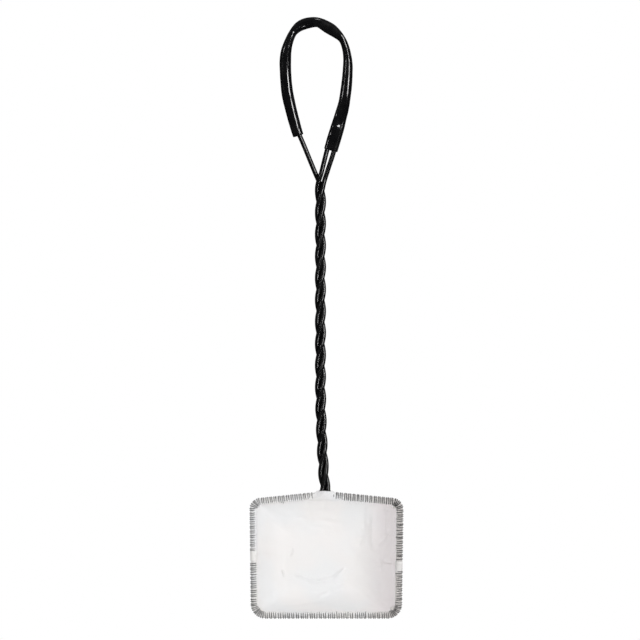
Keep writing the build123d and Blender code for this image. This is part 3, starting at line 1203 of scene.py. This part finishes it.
@dataclass
class ShankPatch:
    """Plain fold of mesh round the foot of the shank, between the two upper hems."""

    hoop: HoopOutline
    reach: Mapping[Side, float] = field(
        default_factory=lambda: {Side.LEFT: 12.5, Side.RIGHT: 12.7}
    )
    centre_radius: float = 4.1
    end_radius: float = 1.72
    roll_share: float = 0.66
    drop_power: int = 4
    lip: float = 2.6
    lip_share: float = 0.68
    lip_fade: float = 0.4
    lip_rows: int = 6
    crumple: tuple[float, float, float] = (0.1, 0.3, 0.18)
    crumple_size: float = 5.0
    crumple_seed: float = 2.3
    weave_radius: float = 3.0
    rows: int = 70
    columns: int = 40

    def share(self, x: np.ndarray) -> np.ndarray:
        """0 at the foot to 1 at the fold's two ends, at each X."""
        off = x - self.hoop.foot_x
        return np.abs(off) / np.where(off < 0, self.reach[Side.LEFT], self.reach[Side.RIGHT])

    def radius(self, x: np.ndarray) -> np.ndarray:
        """How far the fold stands out before and behind the wires at each X."""
        narrowed = ease(self.share(x) / self.roll_share)
        return self.centre_radius + (self.end_radius - self.centre_radius) * narrowed

    def drop(self, x: np.ndarray) -> np.ndarray:
        """How far the fold hangs below the bars at each X."""
        narrowed = np.minimum(self.share(x), 1.0) ** self.drop_power
        return self.centre_radius + (self.end_radius - self.centre_radius) * narrowed

    def bar(self, x: np.ndarray) -> np.ndarray:
        """Follows the hoop's bars.

        Args:
            x: Where they are read.

        Returns:
            Their height at each X.
        """
        half = self.hoop.width / 2
        reach = np.where(x < self.hoop.foot_x, half + self.hoop.foot_x - self.hoop.shift, half)
        return self.hoop.peak - self.hoop.rise * np.abs(x - self.hoop.foot_x) / reach

    def build(self) -> bpy.types.Object:
        """Makes the fold: down in front of the wires, round under them and up behind.

        Returns:
            The fold.
        """
        left = self.hoop.foot_x - self.reach[Side.LEFT]
        right = self.hoop.foot_x + self.reach[Side.RIGHT]
        x = np.linspace(left, right, self.rows)
        radius, drop, bar = self.radius(x), self.drop(x), self.bar(x)
        angle = np.linspace(0.0, math.pi, self.columns - 2 * self.lip_rows)
        lift = np.linspace(1.0, 0.0, self.lip_rows, endpoint=False)
        ones, zeros = np.ones(self.lip_rows), np.zeros(self.lip_rows)
        across = np.concatenate([-ones, -np.cos(angle), ones])
        under = np.concatenate([zeros, -np.sin(angle), zeros])
        above = np.concatenate([lift, np.zeros(len(angle)), lift[::-1]])
        lip = self.lip * ease((1 - self.share(x) / self.lip_share) / self.lip_fade)
        places = np.stack([
            np.broadcast_to(x[:, None], (self.rows, self.columns)),
            radius[:, None] * across,
            bar[:, None] + drop[:, None] * under + lip[:, None] * above,
        ], axis=-1)
        crumpled = ripple(places, self.crumple_size, self.crumple_seed)
        places = places + crumpled[..., None] * np.array(self.crumple)
        steps = np.hypot(np.diff(across, prepend=-1), np.diff(under - above, prepend=-1))
        sheet = Sheet(places, flat_grid(x, np.cumsum(steps) * self.weave_radius))
        piece = make_piece("shank_foot_fold", [sheet], FOLDED_MESH, Slot.MESH)
        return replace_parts(piece, "shank_patch")


@dataclass(frozen=True)
class Fold:
    """A crease or soft fold of the bag, along a line as seen from the front."""

    start: tuple[float, float]
    end: tuple[float, float]
    width: float
    height: float
    fade_rate: float = 2.5
    fade_end: float = 0.25

    def lift(self, x: np.ndarray, z: np.ndarray) -> np.ndarray:
        """Raises the cloth along the fold.

        Args:
            x: X of the cloth's places.
            z: Z of the same places.

        Returns:
            How far each place moves towards the inside of the bag.
        """
        (x0, z0), (x1, z1) = self.start, self.end
        length = math.hypot(x1 - x0, z1 - z0)
        along = ((x - x0) * (x1 - x0) + (z - z0) * (z1 - z0)) / length**2
        near = np.clip(along, 0.0, 1.0)
        away = np.hypot(x - x0 - near * (x1 - x0), z - z0 - near * (z1 - z0))
        fade = ease(np.minimum(along, 1 - along) * self.fade_rate + self.fade_end)
        return self.height * np.exp(-((away / self.width) ** 2)) * fade


@dataclass
class NetBag:
    """The mesh bag: steep walls behind the hoop, drawn in to a flat end, with soft folds."""

    hoop: HoopOutline
    patch: ShankPatch
    depth: float = 36.8
    end_centre: tuple[float, float] = (-1.3, -362.5)
    end_half: tuple[float, float] = (22.0, 18.5)
    mouth_radius: float = 1.85
    mouth_turn: float = math.radians(-150)
    wall_power: float = 0.85
    wall_rows: int = 84
    end_rows: int = 30
    columns: int = 360
    hub_share: float = 0.03
    cut: tuple[float, float] = (0.178, 0.122)
    cut_share: float = 0.62
    held_rows: int = 12
    swells: tuple[Swell, ...] = (Swell(0.4, 15.0, 1.3), Swell(0.16, 5.0, 4.9))
    sag: float = 2.0
    end_swell: float = 0.3
    tuck_inset: float = 2.0
    tuck_width: float = 0.7
    tuck_height: float = 0.45
    folds: tuple[Fold, ...] = (
        Fold((-17.0, -369.0), (-2.7, -374.4), 1.0, 1.5),
        Fold((-2.7, -374.4), (9.0, -372.0), 1.0, 1.7),
        Fold((9.0, -372.0), (17.6, -365.0), 1.0, 1.8),
        Fold((-18.6, -351.6), (-20.6, -357.4), 0.7, -1.6),
        Fold((-25.7, -366.0), (-24.6, -371.0), 0.6, 1.5),
        Fold((-15.0, -316.8), (22.0, -317.2), 0.9, -1.1),
        Fold((-20.0, -321.8), (12.0, -322.2), 1.6, 0.6),
        Fold((-18.7, -329.4), (-8.7, -330.6), 1.6, -0.6),
        Fold((-4.0, -331.8), (16.0, -334.8), 1.8, -0.9),
        Fold((-7.5, -336.8), (7.0, -338.2), 1.5, -0.6),
        Fold((29.8, -322.0), (29.8, -342.0), 1.6, -1.6),
        Fold((29.8, -342.0), (25.8, -350.5), 1.5, -1.5),
        Fold((36.0, -322.0), (36.4, -352.0), 1.8, 1.6),
        Fold((42.6, -318.0), (43.0, -346.0), 1.8, -1.8),
        Fold((46.5, -336.5), (39.5, -349.0), 1.5, -1.5),
        Fold((40.0, -355.0), (41.0, -367.0), 1.6, -1.0),
        Fold((38.0, -315.6), (47.5, -321.2), 0.9, 1.0),
        Fold((-3.0, -386.0), (7.0, -380.6), 1.3, 0.6),
        Fold((7.0, -380.6), (19.0, -377.0), 1.3, 0.6),
        Fold((10.0, -375.7), (13.6, -374.4), 0.9, 0.6),
        Fold((-36.0, -326.0), (-38.5, -346.0), 3.0, 0.5),
        Fold((-34.0, -376.0), (-26.0, -384.0), 2.4, 0.5),
    )

    def mouth(self) -> tuple[np.ndarray, np.ndarray]:
        """Finds where the cloth leaves the hem.

        Returns:
            Places round the mouth, and the distance of each along the hoop.
        """
        route = self.hoop.route()
        marks = np.linspace(0.0, route.length, self.columns, endpoint=False)
        middle, outward, front = Edge(route).around(marks)
        radius = np.full(self.columns, self.mouth_radius)
        x, z = middle[:, 0], middle[:, 2]
        in_patch = (self.patch.share(x) < 1.0) & (z > self.hoop.peak - self.hoop.rise)
        radius = np.where(in_patch, np.maximum(self.patch.drop(x), self.mouth_radius), radius)
        offset = outward * math.cos(self.mouth_turn) + front * math.sin(self.mouth_turn)
        return middle + offset * radius[:, None], marks

    def shape(self) -> np.ndarray:
        """Shapes the bag without its folds.

        Returns:
            Rows of places, from the mouth to a small ring round the end's centre.
        """
        mouth, _ = self.mouth()
        centre = np.array([self.end_centre[0], self.depth, self.end_centre[1]])
        angle = np.arctan2(
            (mouth[:, 2] - centre[2]) / self.end_half[1], (mouth[:, 0] - centre[0]) / self.end_half[0]
        )
        rim = np.stack([
            centre[0] + self.end_half[0] * np.cos(angle),
            np.full(self.columns, self.depth),
            centre[2] + self.end_half[1] * np.sin(angle),
        ], axis=1)
        bend = np.linspace(0.0, math.pi / 2, self.wall_rows)
        inward = ((1 - np.cos(bend)) ** self.wall_power)[:, None, None]
        walls = mouth[None] + (rim - mouth)[None] * inward
        back = mouth[:, 1][None] + (self.depth - mouth[:, 1])[None] * np.sin(bend)[:, None]
        walls[..., 1] = back
        sag = np.sin(bend) * np.cos(bend) * 2
        walls[..., 2] -= (sag[:, None] * self.sag) * np.clip(-np.sin(angle), 0.0, 1.0)[None]
        shrink = np.linspace(1.0, self.hub_share, self.end_rows + 1)[1:, None, None]
        end = centre + (rim - centre)[None] * shrink
        end[..., 1] += self.end_swell * (1 - shrink[..., 0] ** 2)
        return np.concatenate([walls, end])

    def cloth(self) -> Sheet:
        """Lays the folds into the bag.

        Returns:
            The bag, with the flat coordinates of its cloth.
        """
        plain = self.shape()
        down = np.gradient(plain, axis=0)
        round_about = np.roll(plain, -1, axis=1) - np.roll(plain, 1, axis=1)
        inside = unit(np.cross(round_about, down))
        inside = inside * np.sign(np.sum(inside * FRONT, axis=-1, keepdims=True).mean())
        lift = sum(fold.lift(plain[..., 0], plain[..., 2]) for fold in self.folds)
        for swell in self.swells:
            lift = lift + swell.lift(plain)
        inset = np.hypot(*(plain - plain[:1])[..., (0, 2)].transpose(2, 0, 1))
        off = (inset - self.tuck_inset) / self.tuck_width
        lift = lift + self.tuck_height * np.exp(-(off**2))
        held = ease(np.arange(len(plain)) / self.held_rows)[:, None]
        places = plain + inside * (lift * held)[..., None]
        steps = np.linalg.norm(np.diff(plain[::-1], axis=0), axis=-1)
        hub = np.linalg.norm(plain[-1] - plain[-1].mean(axis=0), axis=-1)
        out = np.concatenate([np.zeros((1, self.columns)), np.cumsum(steps, axis=0)])[::-1] + hub
        around = np.arctan2(plain[..., 2] - self.end_centre[1], plain[..., 0] - self.end_centre[0])
        flat = np.stack([out * np.cos(around), out * np.sin(around)], axis=-1)
        flat = np.concatenate([flat, flat[:, :1]], axis=1)
        pole = np.concatenate([places[-1].mean(axis=0), np.zeros(2)])
        return Sheet(places, flat, wrapped=True, pole=pole)

    def build(self, with_pieces: list[bpy.types.Object]) -> bpy.types.Object:
        """Args:
            with_pieces: The pieces that are sewn to it. Not used.

        Returns:
            The bag.
        """
        piece = make_piece("mesh_bag", [self.cloth()], BAG_MESH, Slot.MESH)
        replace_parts(piece, "net_bag")
        width, length = self.cut
        return piece


@dataclass
class SideSeam:
    """One overlocked side seam: the two cut edges of the bag, standing out from its wall."""

    bag: NetBag
    side: Side
    width: float = 1.4
    gap: float = 0.3
    half_gap: float = 0.1
    free_rows: int = 6
    thread_inset: float = 0.5
    thread_seed: int = 60
    stitch: Overlock = field(
        default_factory=lambda: Overlock(
            across=0.7, through=0.24, pitch=2.0, reach=0.1, corner_reach=0.0,
            thread_radius=0.07, steps=12,
        )
    )

    def build(self) -> list[bpy.types.Object]:
        """Makes the seam's cloth and its stitching.

        Returns:
            The two pieces.
        """
        places = self.bag.cloth().places
        _, marks = self.bag.mouth()
        column = int(np.argmin(np.abs(marks - self.bag.hoop.seam(self.side))))
        rows = slice(self.free_rows, self.bag.wall_rows - self.free_rows)
        line = places[rows, column]
        heading = unit(np.gradient(line, axis=0))
        beside = unit(places[rows, (column + 1) % self.bag.columns] - line)
        out = unit(np.cross(heading, beside))
        out = out * np.sign(out[0, 0] * self.side.value)
        across_seam = unit(np.cross(heading, out))
        inner = line + out * self.gap
        outer = inner + out * self.width
        middle = (inner + outer) / 2
        strip = np.stack([inner, middle, outer], axis=1)
        flat = flat_grid(lengths(line), np.array([0.0, self.width / 2, self.width]))
        layers = [
            Sheet(strip + across_seam[:, None] * off, flat) for off in (-self.half_gap, self.half_gap)
        ]
        name = self.side.name.lower()
        cloth = make_piece(f"seam_cloth_{name}", layers, LIGHTENED_SEAM_MESH, Slot.MESH)
        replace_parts(cloth, f"side_seam_{name}")
        edge = Edge(Route(middle), out)
        end = edge.route.length - self.thread_inset
        seed = self.thread_seed + self.side.value
        loops = self.stitch.thread(edge, self.thread_inset, end, seed)
        return [cloth, make_piece(f"seam_overlock_{name}", [loops], SEAM_THREAD, Slot.MESH)]


@dataclass(frozen=True)
class Softbox:
    """A rectangular studio light that faces the net."""

    name: str
    place: tuple[float, float, float]
    aim: tuple[float, float, float]
    size: tuple[float, float]
    watts: float
    mirrored: bool = True
    lights_cloth: bool = False
    spread: float = 180.0

    def light(self) -> None:
        """Puts the light in the scene."""
        lamp = bpy.data.lights.new(self.name, "AREA")
        lamp.shape = "RECTANGLE"
        lamp.size, lamp.size_y = self.size
        lamp.energy = self.watts
        lamp.spread = math.radians(self.spread)
        holder = bpy.data.objects.new(self.name, lamp)
        holder.location = self.place
        holder.visible_glossy = self.mirrored
        holder.visible_diffuse = self.lights_cloth
        way = Vector(self.aim) - Vector(self.place)
        holder.rotation_euler = way.to_track_quat("-Z", "Y").to_euler()
        bpy.context.scene.collection.objects.link(holder)


@dataclass
class Studio:
    """Camera, lights, white surroundings and floor, in metres."""

    frame_width: float = 0.4266667
    frame_centre: tuple[float, float] = (0.0, -0.1953333)
    lens: float = 120.0
    sensor: float = 36.0
    floor_level: float = -1.15
    floor_half: float = 1.5
    ambient: float = 0.84
    dark_side: float = 0.02
    overhead: float = 0.08
    overhead_span: tuple[float, float] = (0.2, 1.0)
    boxes: tuple[Softbox, ...] = (
        Softbox(
            "cloth_box", (0.6, -1.15, -0.3), (0.0, 0.0, -0.34), (0.5, 0.5), 6.6,
            mirrored=False, lights_cloth=True,
        ),
        Softbox(
            "over_box", (0.0, -0.35, 0.6), (0.0, 0.0, -0.36), (0.4, 0.4), 1.4,
            mirrored=False, lights_cloth=True,
        ),
        Softbox(
            "under_box", (0.0, -0.5, -1.0), (0.0, 0.0, -0.34), (0.4, 0.4), 0.4,
            mirrored=False, lights_cloth=True,
        ),
        Softbox("streak_box", (0.6, -1.12, 0.14), (0.0, 0.0, -0.05), (0.28, 0.24), 4.4),
        Softbox("edge_box", (-0.85, -0.9, 0.2), (0.0, 0.0, -0.1), (0.24, 0.1), 0.9),
        Softbox("high_strip", (0.7, -0.95, 0.5), (0.0, 0.0, -0.2), (0.2, 0.3), 6.0),
        Softbox("low_strip", (0.55, -1.05, -0.95), (0.0, 0.0, -0.22), (0.2, 0.3), 0.045, spread=15.0),
        Softbox("top_box", (0.1, -0.4, 0.7), (0.0, 0.0, 0.0), (0.15, 0.15), 0.6),
    )

    def build(self) -> None:
        """Sets up the view, the light and the floor."""
        scene = bpy.context.scene
        scene.view_settings.view_transform = "Standard"
        self.add_camera(scene)
        self.light_world(scene)
        for box in self.boxes:
            box.light()
        self.lay_floor(scene)

    def add_camera(self, scene: bpy.types.Scene) -> None:
        """Looks level along +Y, from where the frame's width fits the lens.

        Args:
            scene: The scene that gets the camera.
        """
        data = bpy.data.cameras.new("camera")
        data.lens, data.sensor_width = self.lens, self.sensor
        camera = bpy.data.objects.new("camera", data)
        x, z = self.frame_centre
        camera.location = (x, -self.frame_width * self.lens / self.sensor, z)
        camera.rotation_euler = (math.pi / 2, 0.0, 0.0)
        scene.collection.objects.link(camera)
        scene.camera = camera

    def light_world(self, scene: bpy.types.Scene) -> None:
        """White for background rays, a dim room for mirror rays and even soft light for the rest.

        Args:
            scene: The scene that gets the surroundings.
        """
        world = bpy.data.worlds.new("studio")
        world.use_nodes = True
        scene.world = world
        recipe = Recipe(world.node_tree)
        way = recipe.value("ShaderNodeTexCoord", output="Generated")
        split = recipe.node("ShaderNodeSeparateXYZ", sockets={0: way})
        overhead = Value(recipe, split.outputs["Z"]).smooth(*self.overhead_span) * self.overhead
        mirror = Value(recipe, recipe.node("ShaderNodeLightPath").outputs["Is Glossy Ray"])
        shown = background_rays(recipe).maximum(overhead)
        white = recipe.blend(shown, (self.dark_side,) * 3, (1.0, 1.0, 1.0))
        seen = recipe.node("ShaderNodeBackground", sockets={"Color": white, "Strength": 1.0})
        soft = recipe.node("ShaderNodeBackground", sockets={"Strength": self.ambient})
        mixed = recipe.node("ShaderNodeMixShader", sockets={
            0: background_rays(recipe).maximum(mirror), 1: soft.outputs[0], 2: seen.outputs[0],
        })
        recipe.node("ShaderNodeOutputWorld", sockets={"Surface": mixed.outputs[0]})

    def lay_floor(self, scene: bpy.types.Scene) -> None:
        """A pale floor below the net, out of the photograph's frame.

        Args:
            scene: The scene that gets the floor.
        """
        half, level = self.floor_half, self.floor_level
        mesh = bpy.data.meshes.new("floor")
        turns = ((-1, -1), (1, -1), (1, 1), (-1, 1))
        corners = [(half * x, half * y, level) for x, y in turns]
        mesh.from_pydata(corners, [], [(0, 1, 2, 3)])
        mesh.materials.append(FLOOR.material())
        floor = bpy.data.objects.new("floor", mesh)
        floor.visible_glossy = False
        scene.collection.objects.link(floor)


def clear_scene() -> None:
    """Removes whatever the new file holds."""
    for thing in list(bpy.data.objects):
        bpy.data.objects.remove(thing)


def main() -> None:
    """Loads the solids, dresses them and sets up the studio."""
    logging.basicConfig(level=logging.INFO, format="%(message)s")
    clear_scene()
    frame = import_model()
    Studio().build()
    WireFrame(frame["nodes"]).dress()
    GripSleeve().build()
    hoop = HoopOutline()
    patch = ShankPatch(hoop)
    bag = NetBag(hoop, patch)
    sewn = [*Hem(hoop).build(), patch.build()]
    for side in Side:
        sewn.extend(SideSeam(bag, side).build())
    bag.build(sewn)


if __name__ == "__main__":
    main()
